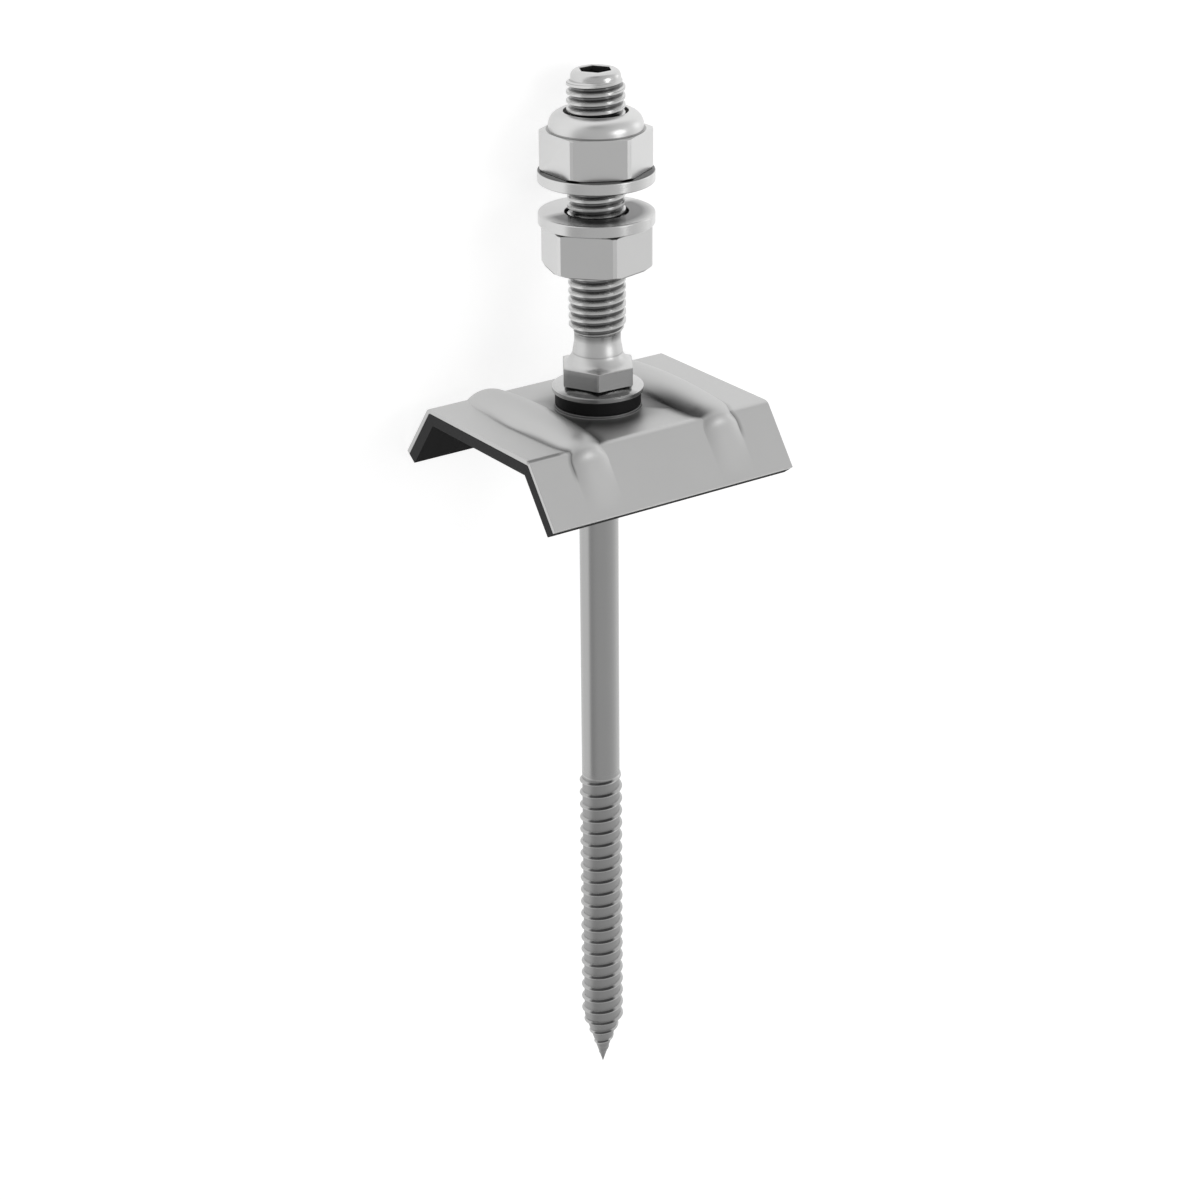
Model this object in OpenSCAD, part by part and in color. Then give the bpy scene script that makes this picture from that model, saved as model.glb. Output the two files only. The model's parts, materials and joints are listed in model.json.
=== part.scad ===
// Solar hanger bolt: a screw that joins a solar rail to a roof beam through a corrugated roof sheet.
// Millimetres. Every piece is drawn upright: the bolt's axis is Z, and z = 0 is the top of the saddle sheet.
// place() then lays the whole assembly down as it comes to rest, on one saddle edge and the lock nut.

/* [Hanger bolt] */
// Length from under the collar to the tip
screw_len = 140; // [110:1:200]
// Diameter of the smooth shank
shank_d = 7; // [6:0.1:8]
// Length of the wood thread, with its point
wood_len = 64; // [45:0.1:80]
// Pitch of the wood thread
wood_pitch = 2.6; // [2:0.1:3.4]
// Height of the wood thread's ridge over its core
wood_ridge = 0.52; // [0.3:0.01:0.7]
// Diameter of the wood thread's core
wood_core_d = 6.87; // [5.8:0.01:6.9]
// Length of the conical point
point_len = 10.9; // [8:0.1:16]
// Collar size across flats
collar_af = 12; // [11:1:14]
// Height of the collar up to the ends of its upright edges
collar_edge_h = 3.3; // [2:0.1:5]
// Height of the cone on the collar
collar_cone_h = 1.75; // [1:0.05:3]
// Diameter of the neck where it leaves the collar
neck_base_d = 8.75; // [8.2:0.05:9.4]
// Diameter of the neck at its waist
neck_d = 8.07; // [7.6:0.01:8.6]
// Height from the collar's top up to the waist
neck_taper_h = 2.7; // [2:0.1:3.4]
// Diameter of the stud over its thread
stud_d = 10; // [10:0.1:10]
// Height of the stud's end over the saddle sheet
stud_top = 59.8; // [56:0.1:80]
// Height where the stud's thread begins
stud_thread_z = 14.3; // [12.6:0.1:18]
// Diameter of the plain pilot end
pilot_d = 8.5; // [7.6:0.1:9]
// Length of the pilot end
pilot_len = 2.2; // [1.4:0.1:4]
// Rounding of the pilot end's edge
pilot_round = 1.1; // [0.2:0.1:1.3]
// Socket in the stud's end, across flats
socket_af = 5; // [4:1:5]
// Depth of that socket
socket_depth = 5; // [3:0.5:8]

/* [Sealing washer] */
// Diameter of the dished steel disc
disc_d = 16; // [15:0.5:20]
// Thickness of the disc
disc_t = 1; // [0.8:0.1:1.5]
// Rise of the disc from its rim to its middle
disc_rise = 0.7; // [0.3:0.05:1]
// Diameter of the disc's flat middle, under the collar
disc_flat_d = 10.4; // [9.6:0.1:11]
// Hole in the disc, which passes over the wood thread
disc_hole_d = 8.3; // [8.1:0.1:8.8]
// Diameter of the rubber ring under the disc
ring_d = 15; // [14:0.1:16]
// Height of the rubber ring at its rim
ring_h = 2.35; // [1.8:0.05:3.5]
// Running clearance of the rubber on the shank, on the radius
rubber_play = 0.03; // [0.02:0.01:0.08]

/* [Saddle] */
// Length of the saddle along the roof rib
saddle_len = 50.2; // [50:0.1:60]
// Width of the crown between the fold corners
crown_w = 31.7; // [28:0.1:36]
// Reach of each flank, sideways
flank_out = 7.44; // [6:0.01:10]
// Drop of each flank
flank_drop = 10.15; // [8:0.01:12]
// Thickness of the folded sheet
sheet_t = 0.8; // [0.7:0.05:1]
// Outer radius of each fold
fold_r = 1.5; // [1.2:0.1:2]
// Thickness of the rubber lining under the sheet
lining_t = 2.05; // [1.6:0.05:3]
// Hole in the sheet
sheet_hole_d = 9; // [8.4:0.1:10]
// Diameter of the raised seat under the rubber ring
seat_d = 15.3; // [15:0.1:17]
// Height of that seat
seat_h = 0.5; // [0.3:0.05:0.7]

/* [Pressed beads] */
// Distance of each bead from the bolt's axis
bead_x = 13.8; // [12.6:0.1:15]
// Width of a bead at its middle, with its soft edges
bead_w = 11.6; // [11:0.1:12.2]
// Height of a bead at its middle
bead_h = 2.7; // [2.4:0.05:3]
// Radius of the bead's soft edges
bead_edge_r = 1.8; // [1.4:0.1:2.2]
// Radius of the bead's long arch over the crown, in side view
bead_arch_r = 110; // [100:5:130]
// Radius of its turn over a fold
bead_turn_r = 7; // [6:0.1:8]
// Height of the bead over the flank, once it has turned
bead_flank_h = 1.1; // [0.9:0.05:1.3]
// Angle at which a bead runs out into the flank
bead_fade = 9; // [8:0.5:12]

/* [Nuts and washers] */
// Size of both nuts across flats
nut_af = 17; // [16:1:17]
// Size across the flats that bevel the nuts' corners
nut_bevel_af = 19.2; // [18.8:0.05:19.5]
// Height of the plain lower nut
nut_h = 7.6; // [6.5:0.1:8.4]
// Chamfer of the plain nut's corners, above and below
nut_chamfer = 0.45; // [0.2:0.05:0.6]
// Play between a nut and the stud, on the radius
thread_play = 0.03; // [0.02:0.01:0.05]
// Diameter of both washers
washer_d = 20; // [18:0.5:21]
// Thickness of both washers
washer_t = 2; // [1.6:0.1:2.5]
// Hole of both washers
washer_hole_d = 11; // [10.5:0.1:11.2]
// Top face of the lower washer, where the rail's foot is clamped
clamp_z = 34.85; // [32:0.05:36]
// Open gap between the two washers
clamp_gap = 5.3; // [4:0.1:8]
// Height of the lock nut's hexagon
lock_hex_h = 6.9; // [6:0.1:8]
// Chamfer of the lock nut's corners, below
lock_chamfer = 0.3; // [0.2:0.05:0.6]
// Height of the whole lock nut
lock_h = 10; // [9:0.1:11]
// Diameter of the lock nut's round crown
lock_crown_d = 16.1; // [15.4:0.1:16.6]
// Outer rounding of that crown
lock_crown_round = 2.4; // [1.8:0.1:2.6]
// Wall of the crown round the plastic ring
lock_wall = 1; // [0.8:0.1:1.2]
// Hole in the crown's lip
lock_lip_d = 11; // [10.6:0.1:11.4]
// How far the plastic ring's seat reaches down into the hexagon
lock_ring_sink = 0.6; // [0.3:0.1:1.2]

/* [Hidden] */

$fn = 96;

// Heights of the stack, from the saddle sheet up
ring_top = seat_h + ring_h;
disc_rim_top = ring_top + disc_t;
collar_z = disc_rim_top + disc_rise;
collar_edge_top = collar_z + collar_edge_h;
collar_top = collar_edge_top + collar_cone_h;
tip_z = collar_z - screw_len;
wood_z = tip_z + wood_len;
lower_washer_z = clamp_z - washer_t;
lower_nut_z = lower_washer_z - nut_h;
upper_washer_z = clamp_z + clamp_gap;
lock_nut_z = upper_washer_z + washer_t;
lock_hex_top = lock_nut_z + lock_hex_h;
lock_top = lock_nut_z + lock_h;

// Turns of the hexagons, as they stand on the photographed part
collar_turn = -3.5;
socket_turn = 3.6;
lower_nut_turn = 13.4;
lock_nut_turn = 90;

// Radii
shank_r = shank_d / 2;
stud_r = stud_d / 2;
nut_bore_r = stud_r + thread_play;
disc_flat_r = disc_flat_d / 2;
pilot_r = pilot_d / 2;
rubber_bore_r = shank_r + rubber_play;
waist_z = collar_top + neck_taper_h;
entry_depth = 0.35;
edge = 0.15;
over = 1;

// Fold geometry of the saddle
fold_a = atan2(flank_drop, flank_out);
fold_half_tan = tan(fold_a / 2);
fold_y = crown_w / 2 - fold_r * fold_half_tan;
foot_y = crown_w / 2 + flank_out;
fill_depth = 30;
bead_a = 2 * atan2(bead_h, bead_w / 2);
bead_crest_r = bead_w / 2 / sin(bead_a) - bead_edge_r;
bead_sink = 0.02;
bead_run = 14;
bead_root = 3;
// In side view a bead's crest is a long arch, which ends at bead_turn_a from the upright, where the
// tighter turn over the fold takes over and leaves it bead_flank_h over the flank
bead_turn_a = fold_a - acos(
    (bead_flank_h - bead_turn_r + crown_w / 2 * sin(fold_a) - (bead_h - bead_arch_r) * cos(fold_a))
        / (bead_arch_r - bead_turn_r));
bead_turn_y = (bead_arch_r - bead_turn_r) * sin(bead_turn_a);
bead_turn_z = bead_h - bead_arch_r + (bead_arch_r - bead_turn_r) * cos(bead_turn_a);
bead_end_a = fold_a + bead_fade;

// The assembly lies head down, on the foot of one flank and on a corner of the lock nut
lock_corner_r = nut_bevel_af / 2;
tilt = atan2(foot_y - lock_corner_r, flank_drop + lock_hex_top);
lift = foot_y * cos(tilt) - flank_drop * sin(tilt);
head_y = (pilot_r - pilot_round) * sin(tilt) + (stud_top - pilot_round) * cos(tilt) + pilot_round;
tail_y = tip_z * cos(tilt);

module place() {
    translate([0, -(head_y + tail_y) / 2, lift])
        rotate([-(90 + tilt), 0, 0])
            children();
}

// Hexagonal prism, with a corner at the given turn from +X
module hexagon(af, z, h, turn) {
    translate([0, 0, z])
        rotate([0, 0, turn])
            cylinder(r = af / 2 / cos(30), h = h, $fn = 6);
}

// Bore with a small cone at each end
module tapped_bore(r, z, h) {
    rotate_extrude()
        polygon([
            [0, z - over], [r + entry_depth + over, z - over], [r, z + entry_depth],
            [r, z + h - entry_depth], [r + entry_depth + over, z + h + over], [0, z + h + over]
        ]);
}

// Wood thread: one ridge on a helix. A strip of quads, one pitch wide, winds down to the point, and its
// lower edge is the upper edge one turn on. It starts inside the shank, where it has no ridge yet.
steps = 26;
wood_core_r = wood_core_d / 2;
strip_rise = 0.43;
wood_top = wood_z + wood_pitch + strip_rise;
wood_turn = 50.8;
ridge_base_w = 1.6;
ridge_crest_w = 0.5;
ridge_side_w = (ridge_base_w - ridge_crest_w) / 2;
ridge_drop = [0, ridge_side_w, ridge_side_w + ridge_crest_w, ridge_base_w];
ridge_share = [0, 1, 1, 0];
ridge_rows = len(ridge_drop);
tip_margin = 0.5;
point_core_r = 0.04;
smooth_point_len = 1.2;
shank_margin = 0.1;
ridge_start = ceil((wood_top - wood_z + shank_margin) / wood_pitch * steps);
ridge_growth = 7;
wood_steps = floor((wood_top - wood_pitch - tip_z - tip_margin) / wood_pitch * steps);

function core_at(z) = min(wood_core_r, (z - tip_z) * wood_core_r / point_len + point_core_r);
function ridge_at(i, z) =
    wood_ridge * max(0, min(1, (i - ridge_start) / ridge_growth))
        * max(0, min(1, (z - tip_z - smooth_point_len) / (point_len - smooth_point_len)));
function wood_point(i, row) =
    let (
        z = wood_top - wood_pitch * i / steps - ridge_drop[row],
        r = core_at(z) + ridge_share[row] * ridge_at(i, z),
        a = wood_turn - 360 * i / steps
    ) [r * cos(a), r * sin(a), z];
function wood_index(i, row) =
    row == ridge_rows ? i + steps :
    row == 0 ? i :
    wood_steps + steps + 1 + (row - 1) * (wood_steps + 1) + i;

module wood_thread() {
    points = concat(
        [for (i = [0:wood_steps + steps]) wood_point(i, 0)],
        [for (row = [1:ridge_rows - 1]) for (i = [0:wood_steps]) wood_point(i, row)],
        [[0, 0, wood_top], [0, 0, tip_z]]
    );
    top = len(points) - 2;
    tip = len(points) - 1;
    polyhedron(points, concat(
        [for (i = [0:wood_steps - 1]) for (row = [0:ridge_rows - 1]) [
            wood_index(i, row), wood_index(i, row + 1), wood_index(i + 1, row + 1)]],
        [for (i = [0:wood_steps - 1]) for (row = [0:ridge_rows - 1]) [
            wood_index(i, row), wood_index(i + 1, row + 1), wood_index(i + 1, row)]],
        [for (i = [0:steps - 1]) [wood_index(i, 0), wood_index(i + 1, 0), top]],
        [for (row = [0:ridge_rows - 1]) [wood_index(0, row + 1), wood_index(0, row), top]],
        [for (i = [wood_steps - steps:wood_steps - 1]) [
            wood_index(i + 1, ridge_rows), wood_index(i, ridge_rows), tip]],
        [for (row = [0:ridge_rows - 1]) [
            wood_index(wood_steps, row), wood_index(wood_steps, row + 1), tip]]
    ));
}

// Neck, threaded stud and pilot end as one turned outline
module stud_outline() {
    polygon([
        [0, collar_top - over], [neck_base_d / 2, collar_top - over], [neck_base_d / 2, collar_top],
        [neck_d / 2, waist_z], [stud_r, stud_thread_z],
        [stud_r, stud_top - pilot_len - (stud_r - pilot_r)], [pilot_r, stud_top - pilot_len],
        [pilot_r, stud_top - pilot_round], [pilot_r - pilot_round, stud_top], [0, stud_top]
    ]);
    translate([pilot_r - pilot_round, stud_top - pilot_round])
        circle(r = pilot_round);
}

// The cone goes on past the corners, so that it cuts every face of the hexagon cleanly
module collar() {
    corner_r = collar_af / 2 / cos(30);
    cone_slope = collar_cone_h / (corner_r - neck_base_d / 2);
    intersection() {
        hexagon(collar_af, collar_z, collar_edge_h + collar_cone_h, collar_turn);
        rotate_extrude()
            polygon([
                [0, collar_z - over], [corner_r + over, collar_z - over],
                [corner_r + over, collar_edge_top - over * cone_slope], [neck_base_d / 2, collar_top],
                [0, collar_top]
            ]);
    }
}

module hanger_bolt() {
    color("silver") place() {
        difference() {
            union() {
                translate([0, 0, wood_z])
                    cylinder(r = shank_r, h = collar_z + over - wood_z);
                collar();
                rotate_extrude() stud_outline();
            }
            hexagon(socket_af, stud_top - socket_depth, socket_depth + over, socket_turn);
        }
        wood_thread();
    }
}

// Dished disc: a flat middle under the collar, and a cone down to the rim
module sealing_washer() {
    color("silver") place()
        rotate_extrude()
            polygon([
                [disc_hole_d / 2, collar_z - disc_t], [disc_flat_r, collar_z - disc_t],
                [disc_d / 2 - edge, ring_top], [disc_d / 2, ring_top + edge],
                [disc_d / 2, disc_rim_top - edge], [disc_d / 2 - edge, disc_rim_top],
                [disc_flat_r, collar_z], [disc_hole_d / 2, collar_z]
            ]);
}

// Rubber ring, moulded to fill the dish above it
module sealing_ring() {
    dish_slope = disc_rise / (disc_d / 2 - edge - disc_flat_r);
    color("dimgray") place()
        rotate_extrude()
            polygon([
                [rubber_bore_r, seat_h], [ring_d / 2, seat_h],
                [ring_d / 2, ring_top + (disc_d / 2 - edge - ring_d / 2) * dish_slope],
                [disc_flat_r, collar_z - disc_t], [rubber_bore_r, collar_z - disc_t]
            ]);
}

// Everything below the folded surface that lies at the given depth under the saddle's top
module under_fold(depth) {
    half = crown_w / 2 - depth * fold_half_tan;
    cut = max(fold_r - depth, 0) * fold_half_tan;
    for (side = [-1, 1])
        scale([side, 1])
            union() {
                polygon([
                    [-over, -depth], [half - cut, -depth],
                    [half + cut * cos(fold_a), -depth - cut * sin(fold_a)],
                    [half + fill_depth / tan(fold_a), -depth - fill_depth], [-over, -depth - fill_depth]
                ]);
                if (depth < fold_r)
                    translate([fold_y, -fold_r]) circle(r = fold_r - depth);
            }
}

// Square cut across the foot of each flank
module flank_end() {
    for (side = [0, 1])
        mirror([side, 0])
            translate([foot_y, -flank_drop])
                rotate(-fold_a)
                    translate([0, -fill_depth]) square([2 * fill_depth, 2 * fill_depth]);
}

// Extrudes a section of Y and Z along the saddle
module along_saddle(len) {
    translate([-len / 2, 0, 0])
        rotate([90, 0, 90])
            linear_extrude(len) children();
}

// Cross-section of a bead: a crest arc between two soft edges, seen from the axis that it bends about.
// The first number of a point is its distance from that axis, and the second its place across the bead.
function crest_point(a, depth, bend_r) = [
    bend_r - bead_sink - bead_crest_r + (bead_crest_r - depth) * cos(a),
    (bead_crest_r - depth) * sin(a)
];
function edge_point(side, a, depth, bend_r) = [
    bend_r - bead_h - bead_sink + bead_edge_r - (bead_edge_r + depth) * cos(a),
    side * (bead_w / 2 - (bead_edge_r + depth) * sin(a))
];

module bead_section(depth, bend_r) {
    root = bend_r - bead_h - bead_root;
    polygon(concat(
        [[root, -bead_w / 2]],
        [for (k = [0:3]) edge_point(-1, bead_a * k / 4, depth, bend_r)],
        [for (k = [-6:6]) crest_point(bead_a * k / 6, depth, bend_r)],
        [for (k = [3:-1:0]) edge_point(1, bead_a * k / 4, depth, bend_r)],
        [[root, bead_w / 2]]
    ));
}

// One bead: the arch over the crown, a turn over each fold, and a straight end that sinks into the flank
module bead(depth) {
    translate([0, 0, bead_h - bead_arch_r])
        rotate([0, -90, 0])
            rotate([0, 0, -bead_turn_a])
                rotate_extrude(angle = 2 * bead_turn_a, $fn = 720) bead_section(depth, bead_arch_r);
    for (side = [0, 1])
        mirror([0, side, 0])
            translate([0, bead_turn_y, bead_turn_z])
                rotate([0, -90, 0]) {
                    rotate([0, 0, bead_turn_a])
                        rotate_extrude(angle = bead_end_a - bead_turn_a) bead_section(depth, bead_turn_r);
                    rotate([0, 0, bead_end_a])
                        translate([0, bead_run, 0])
                            rotate([90, 0, 0]) linear_extrude(bead_run) bead_section(depth, bead_turn_r);
                }
}

module beads(depth) {
    for (x = [-bead_x, bead_x])
        translate([x, 0, 0]) bead(depth);
}

// Folded sheet with two pressed beads and a raised seat round its hole
module saddle() {
    color("lightgray") place()
        difference() {
            union() {
                along_saddle(saddle_len) under_fold(0);
                beads(0);
                translate([0, 0, -over]) cylinder(r = seat_d / 2, h = seat_h + over);
            }
            along_saddle(saddle_len + 2 * over) under_fold(sheet_t);
            beads(sheet_t);
            translate([0, 0, -fill_depth]) cylinder(r = seat_d / 2 - sheet_t, h = fill_depth + seat_h - sheet_t);
            translate([0, 0, -over - sheet_t]) cylinder(r = sheet_hole_d / 2, h = sheet_t + seat_h + 2 * over);
            along_saddle(saddle_len + 2 * over) flank_end();
        }
}

// Rubber strip bonded under the sheet, with a boss that fills the seat
module saddle_lining() {
    color("dimgray") place()
        difference() {
            union() {
                along_saddle(saddle_len)
                    difference() {
                        under_fold(sheet_t);
                        under_fold(sheet_t + lining_t);
                        flank_end();
                    }
                translate([0, 0, -sheet_t - lining_t])
                    cylinder(r = seat_d / 2 - sheet_t, h = lining_t + seat_h);
            }
            translate([0, 0, -sheet_t - lining_t - over])
                cylinder(r = rubber_bore_r, h = lining_t + seat_h + 2 * over);
        }
}

// Hexagon nut whose corners are bevelled, and chamfered below and, where asked, above
module nut_blank(z, h, turn, below, above) {
    corner = nut_bevel_af / 2;
    intersection() {
        hexagon(nut_af, z, h, turn);
        hexagon(nut_bevel_af, z, h, turn + 30);
        rotate_extrude()
            polygon([
                [0, z], [corner - below / tan(30), z], [corner + below, z + below * (1 + tan(30))],
                [corner + below, z + h - above * (1 + tan(30))], [corner - above / tan(30), z + h], [0, z + h]
            ]);
    }
}

module lower_nut() {
    color("silver") place()
        difference() {
            nut_blank(lower_nut_z, nut_h, lower_nut_turn, nut_chamfer, nut_chamfer);
            tapped_bore(nut_bore_r, lower_nut_z, nut_h);
        }
}

module washer(z) {
    color("silver") place()
        rotate_extrude()
            polygon([
                [washer_hole_d / 2, z], [washer_d / 2 - edge, z], [washer_d / 2, z + edge],
                [washer_d / 2, z + washer_t - edge], [washer_d / 2 - edge, z + washer_t],
                [washer_hole_d / 2, z + washer_t]
            ]);
}

module lower_washer() {
    washer(lower_washer_z);
}

module upper_washer() {
    washer(upper_washer_z);
}

// Round outline whose top corner is rounded, shared by the crown and the plastic ring inside it
crown_r = lock_crown_d / 2;
crown_centre_r = crown_r - lock_crown_round;
crown_centre_z = lock_top - lock_crown_round;
ring_bottom_z = lock_hex_top - lock_ring_sink;

module crown_outline(inset, bottom) {
    round_r = lock_crown_round - inset;
    polygon([
        [0, bottom], [crown_r - inset, bottom], [crown_r - inset, crown_centre_z],
        [crown_centre_r, crown_centre_z + round_r], [0, crown_centre_z + round_r]
    ]);
    translate([crown_centre_r, crown_centre_z]) circle(r = round_r);
}

module lock_nut() {
    color("silver") place()
        difference() {
            union() {
                nut_blank(lock_nut_z, lock_hex_h, lock_nut_turn, lock_chamfer, 0);
                rotate_extrude() crown_outline(0, lock_hex_top - over);
            }
            tapped_bore(nut_bore_r, lock_nut_z, ring_bottom_z - lock_nut_z);
            rotate_extrude() crown_outline(lock_wall, ring_bottom_z);
            translate([0, 0, ring_bottom_z]) cylinder(r = lock_lip_d / 2, h = lock_h);
        }
}

module lock_ring() {
    color("dimgray") place()
        difference() {
            rotate_extrude() crown_outline(lock_wall, ring_bottom_z);
            translate([0, 0, ring_bottom_z - over]) cylinder(r = nut_bore_r, h = lock_h);
        }
}

hanger_bolt();
sealing_washer();
sealing_ring();
saddle();
saddle_lining();
lower_nut();
lower_washer();
upper_washer();
lock_nut();
lock_ring();
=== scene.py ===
import json
import math
import bmesh
import bpy
from mathutils import Matrix, Vector


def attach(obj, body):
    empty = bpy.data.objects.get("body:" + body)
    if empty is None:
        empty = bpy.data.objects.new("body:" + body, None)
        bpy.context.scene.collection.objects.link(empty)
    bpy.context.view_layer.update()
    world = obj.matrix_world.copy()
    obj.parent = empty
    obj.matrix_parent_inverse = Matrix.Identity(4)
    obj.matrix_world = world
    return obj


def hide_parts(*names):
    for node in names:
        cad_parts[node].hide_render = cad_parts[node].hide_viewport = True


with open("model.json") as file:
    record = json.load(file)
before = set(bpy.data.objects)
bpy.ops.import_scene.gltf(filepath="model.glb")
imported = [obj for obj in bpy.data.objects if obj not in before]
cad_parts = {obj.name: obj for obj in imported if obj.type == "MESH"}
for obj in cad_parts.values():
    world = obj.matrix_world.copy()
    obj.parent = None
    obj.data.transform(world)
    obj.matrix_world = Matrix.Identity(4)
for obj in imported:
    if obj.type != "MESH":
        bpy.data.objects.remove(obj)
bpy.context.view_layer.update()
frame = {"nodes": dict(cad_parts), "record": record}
print("frame loaded")

# The assembly lies tilted. Its own upright frame has the bolt's axis as Z, the saddle's length as X
# and z = 0 at the top of the saddle sheet. Sizes below are millimetres in that frame.
mm = 0.001
mounts = {m["name"]: m for m in frame["record"]["mounts"]}
saddleStack = 2.85
boltUp = Vector(mounts["stud_thread"]["axis"]).normalized()
alongSaddle = Vector((1, 0, 0))
backwards = boltUp.cross(alongSaddle)
saddleTop = Vector(mounts["roof_saddle"]["pos_m"]) + boltUp * saddleStack * mm
placement = Matrix((alongSaddle, backwards, boltUp)).transposed().to_4x4()
placement.translation = saddleTop
uprightToFrame = placement @ Matrix.Scale(mm, 4)


# A wire is one output socket. Sums on wires add Math nodes.
class Wire:
    def __init__(self, graph, node, socket):
        self.graph, self.node, self.socket = graph, node, socket

    def out(self, name):
        return Wire(self.graph, self.node, self.node.outputs[name])

    def math(self, operation, first, second):
        return self.graph.add("ShaderNodeMath", {"operation": operation}, {0: first, 1: second})

    def __add__(self, other): return self.math("ADD", self, other)
    def __radd__(self, other): return self.math("ADD", other, self)
    def __sub__(self, other): return self.math("SUBTRACT", self, other)
    def __rsub__(self, other): return self.math("SUBTRACT", other, self)
    def __mul__(self, other): return self.math("MULTIPLY", self, other)
    def __rmul__(self, other): return self.math("MULTIPLY", other, self)
    def __truediv__(self, other): return self.math("DIVIDE", self, other)
    def __pow__(self, other): return self.math("POWER", self, other)
    def min(self, other): return self.math("MINIMUM", self, other)
    def max(self, other): return self.math("MAXIMUM", self, other)
    def clamp(self): return self.max(0.0).min(1.0)


class Graph:
    def __init__(self, tree):
        self.tree = tree

    def add(self, kind, settings=None, values=None, output=0):
        node = self.tree.nodes.new(kind)
        for name, setting in (settings or {}).items():
            setattr(node, name, setting)
        for name, value in (values or {}).items():
            if isinstance(value, Wire):
                self.tree.links.new(value.socket, node.inputs[name])
            else:
                node.inputs[name].default_value = value
        return Wire(self, node, node.outputs[output] if len(node.outputs) else None)

    def math(self, operation, first):
        return self.add("ShaderNodeMath", {"operation": operation}, {0: first})

    def mix(self, factor, first, second):
        return self.add("ShaderNodeMix", {"data_type": "RGBA"}, {0: factor, 6: first, 7: second}, 2)


# Camera, fitted to the photograph
cameraFit = {
    "place": (-260.4, -372.6, 166.9),
    "lookDown": 24.2,
    "turn": -34.96,
    "roll": -0.428,
    "lens": 83.11,
    "sensor": 36,
    "clip": (0.01, 20),
}


def makeCamera():
    turn, down = math.radians(cameraFit["turn"]), math.radians(cameraFit["lookDown"])
    roll = math.radians(cameraFit["roll"])
    right = Vector((math.cos(turn), math.sin(turn), 0))
    ahead = Vector((-math.sin(turn), math.cos(turn), 0)) * math.cos(down) - Vector((0, 0, math.sin(down)))
    above = right.cross(ahead)
    rolledRight = right * math.cos(roll) + above * math.sin(roll)
    rolledAbove = above * math.cos(roll) - right * math.sin(roll)
    camera = bpy.data.objects.new("camera", bpy.data.cameras.new("camera"))
    turnMatrix = Matrix((rolledRight, rolledAbove, -ahead)).transposed()
    camera.matrix_world = (placement.to_3x3() @ turnMatrix).to_4x4()
    camera.location = uprightToFrame @ Vector(cameraFit["place"])
    camera.data.lens, camera.data.sensor_width = cameraFit["lens"], cameraFit["sensor"]
    camera.data.clip_start, camera.data.clip_end = cameraFit["clip"]
    bpy.context.scene.collection.objects.link(camera)
    bpy.context.scene.camera = camera


makeCamera()
print("camera set")

# Floor, lamps and world. Directions are (azimuth, elevation) in degrees round the lying object.
studio = {
    "floorSize": 16.0,
    "floorShade": 0.5,
    "floorGlow": 0.72,
    "glossNear": 0.12, "glossReach": 0.5, "glossFade": 0.4,
    "airLevel": 0.58, "airLeast": 0.02,
    "horizonGain": 0.22, "horizonFall": 6.0,
    "airPatches": {
        "brightSide": {"towards": (-12, 4), "spread": 38, "gain": 0.38},
        "brightSpot": {"towards": (14, 3), "spread": 14, "gain": 0.45},
        "highFlank": {"towards": (45, 35), "spread": 25, "gain": 0.15},
        "darkBehind": {"towards": (110, 8), "spread": 18, "gain": -0.35},
        "darkFront": {"towards": (-146, 6), "spread": 22, "gain": -0.24},
    },
    "lamps": {
        "topBox": {"towards": (40, 62), "away": 700, "size": (320, 320), "power": 0.6},
        "sideBox": {"towards": (12, 7), "away": 600, "size": (220, 220), "power": 0.05},
    },
}


def towards(azimuth, elevation):
    azimuth, elevation = math.radians(azimuth), math.radians(elevation)
    return Vector((math.cos(azimuth) * math.cos(elevation), math.sin(azimuth) * math.cos(elevation),
                   math.sin(elevation)))


def makeFloor():
    half = studio["floorSize"] / 2
    mesh = bpy.data.meshes.new("floor")
    corners = [(-half, -half, 0), (half, -half, 0), (half, half, 0), (-half, half, 0)]
    mesh.from_pydata(corners, [], [(0, 1, 2, 3)])
    floor = bpy.data.objects.new("floor", mesh)
    bpy.context.scene.collection.objects.link(floor)
    material = bpy.data.materials.new("paleFloor")
    material.use_nodes = True
    graph = Graph(material.node_tree)
    material.node_tree.nodes.clear()
    shade = studio["floorShade"]
    matt = graph.add("ShaderNodeBsdfDiffuse", None, {"Color": (shade, shade, shade, 1)})
    # Camera, glossy and transmission rays see a white floor, which fades with distance for the glossy ones
    path = graph.add("ShaderNodeLightPath", None, None, "Is Camera Ray")
    spot = graph.add("ShaderNodeTexCoord", None, None, "Object")
    away = graph.add("ShaderNodeVectorMath", {"operation": "LENGTH"}, {0: spot}, "Value")
    faded = 1 - ((away - studio["glossNear"]) / studio["glossReach"]).clamp() * studio["glossFade"]
    seen = path.max(path.out("Is Glossy Ray") * faded).max(path.out("Is Transmission Ray"))
    glow = graph.add("ShaderNodeEmission", None, {
        "Color": (1, 1, 1, 1), "Strength": seen * studio["floorGlow"]})
    surface = graph.add("ShaderNodeAddShader", None, {0: matt, 1: glow})
    graph.add("ShaderNodeOutputMaterial", None, {"Surface": surface})
    mesh.materials.append(material)


def makeLamps():
    for name, facts in studio["lamps"].items():
        data = bpy.data.lights.new(name, "AREA")
        data.shape, data.size, data.size_y = "RECTANGLE", facts["size"][0] * mm, facts["size"][1] * mm
        data.energy = facts["power"]
        lamp = bpy.data.objects.new(name, data)
        lamp.location = saddleTop + towards(*facts["towards"]) * facts["away"] * mm
        lamp.rotation_euler = (saddleTop - lamp.location).to_track_quat("-Z", "Y").to_euler()
        bpy.context.scene.collection.objects.link(lamp)


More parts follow.
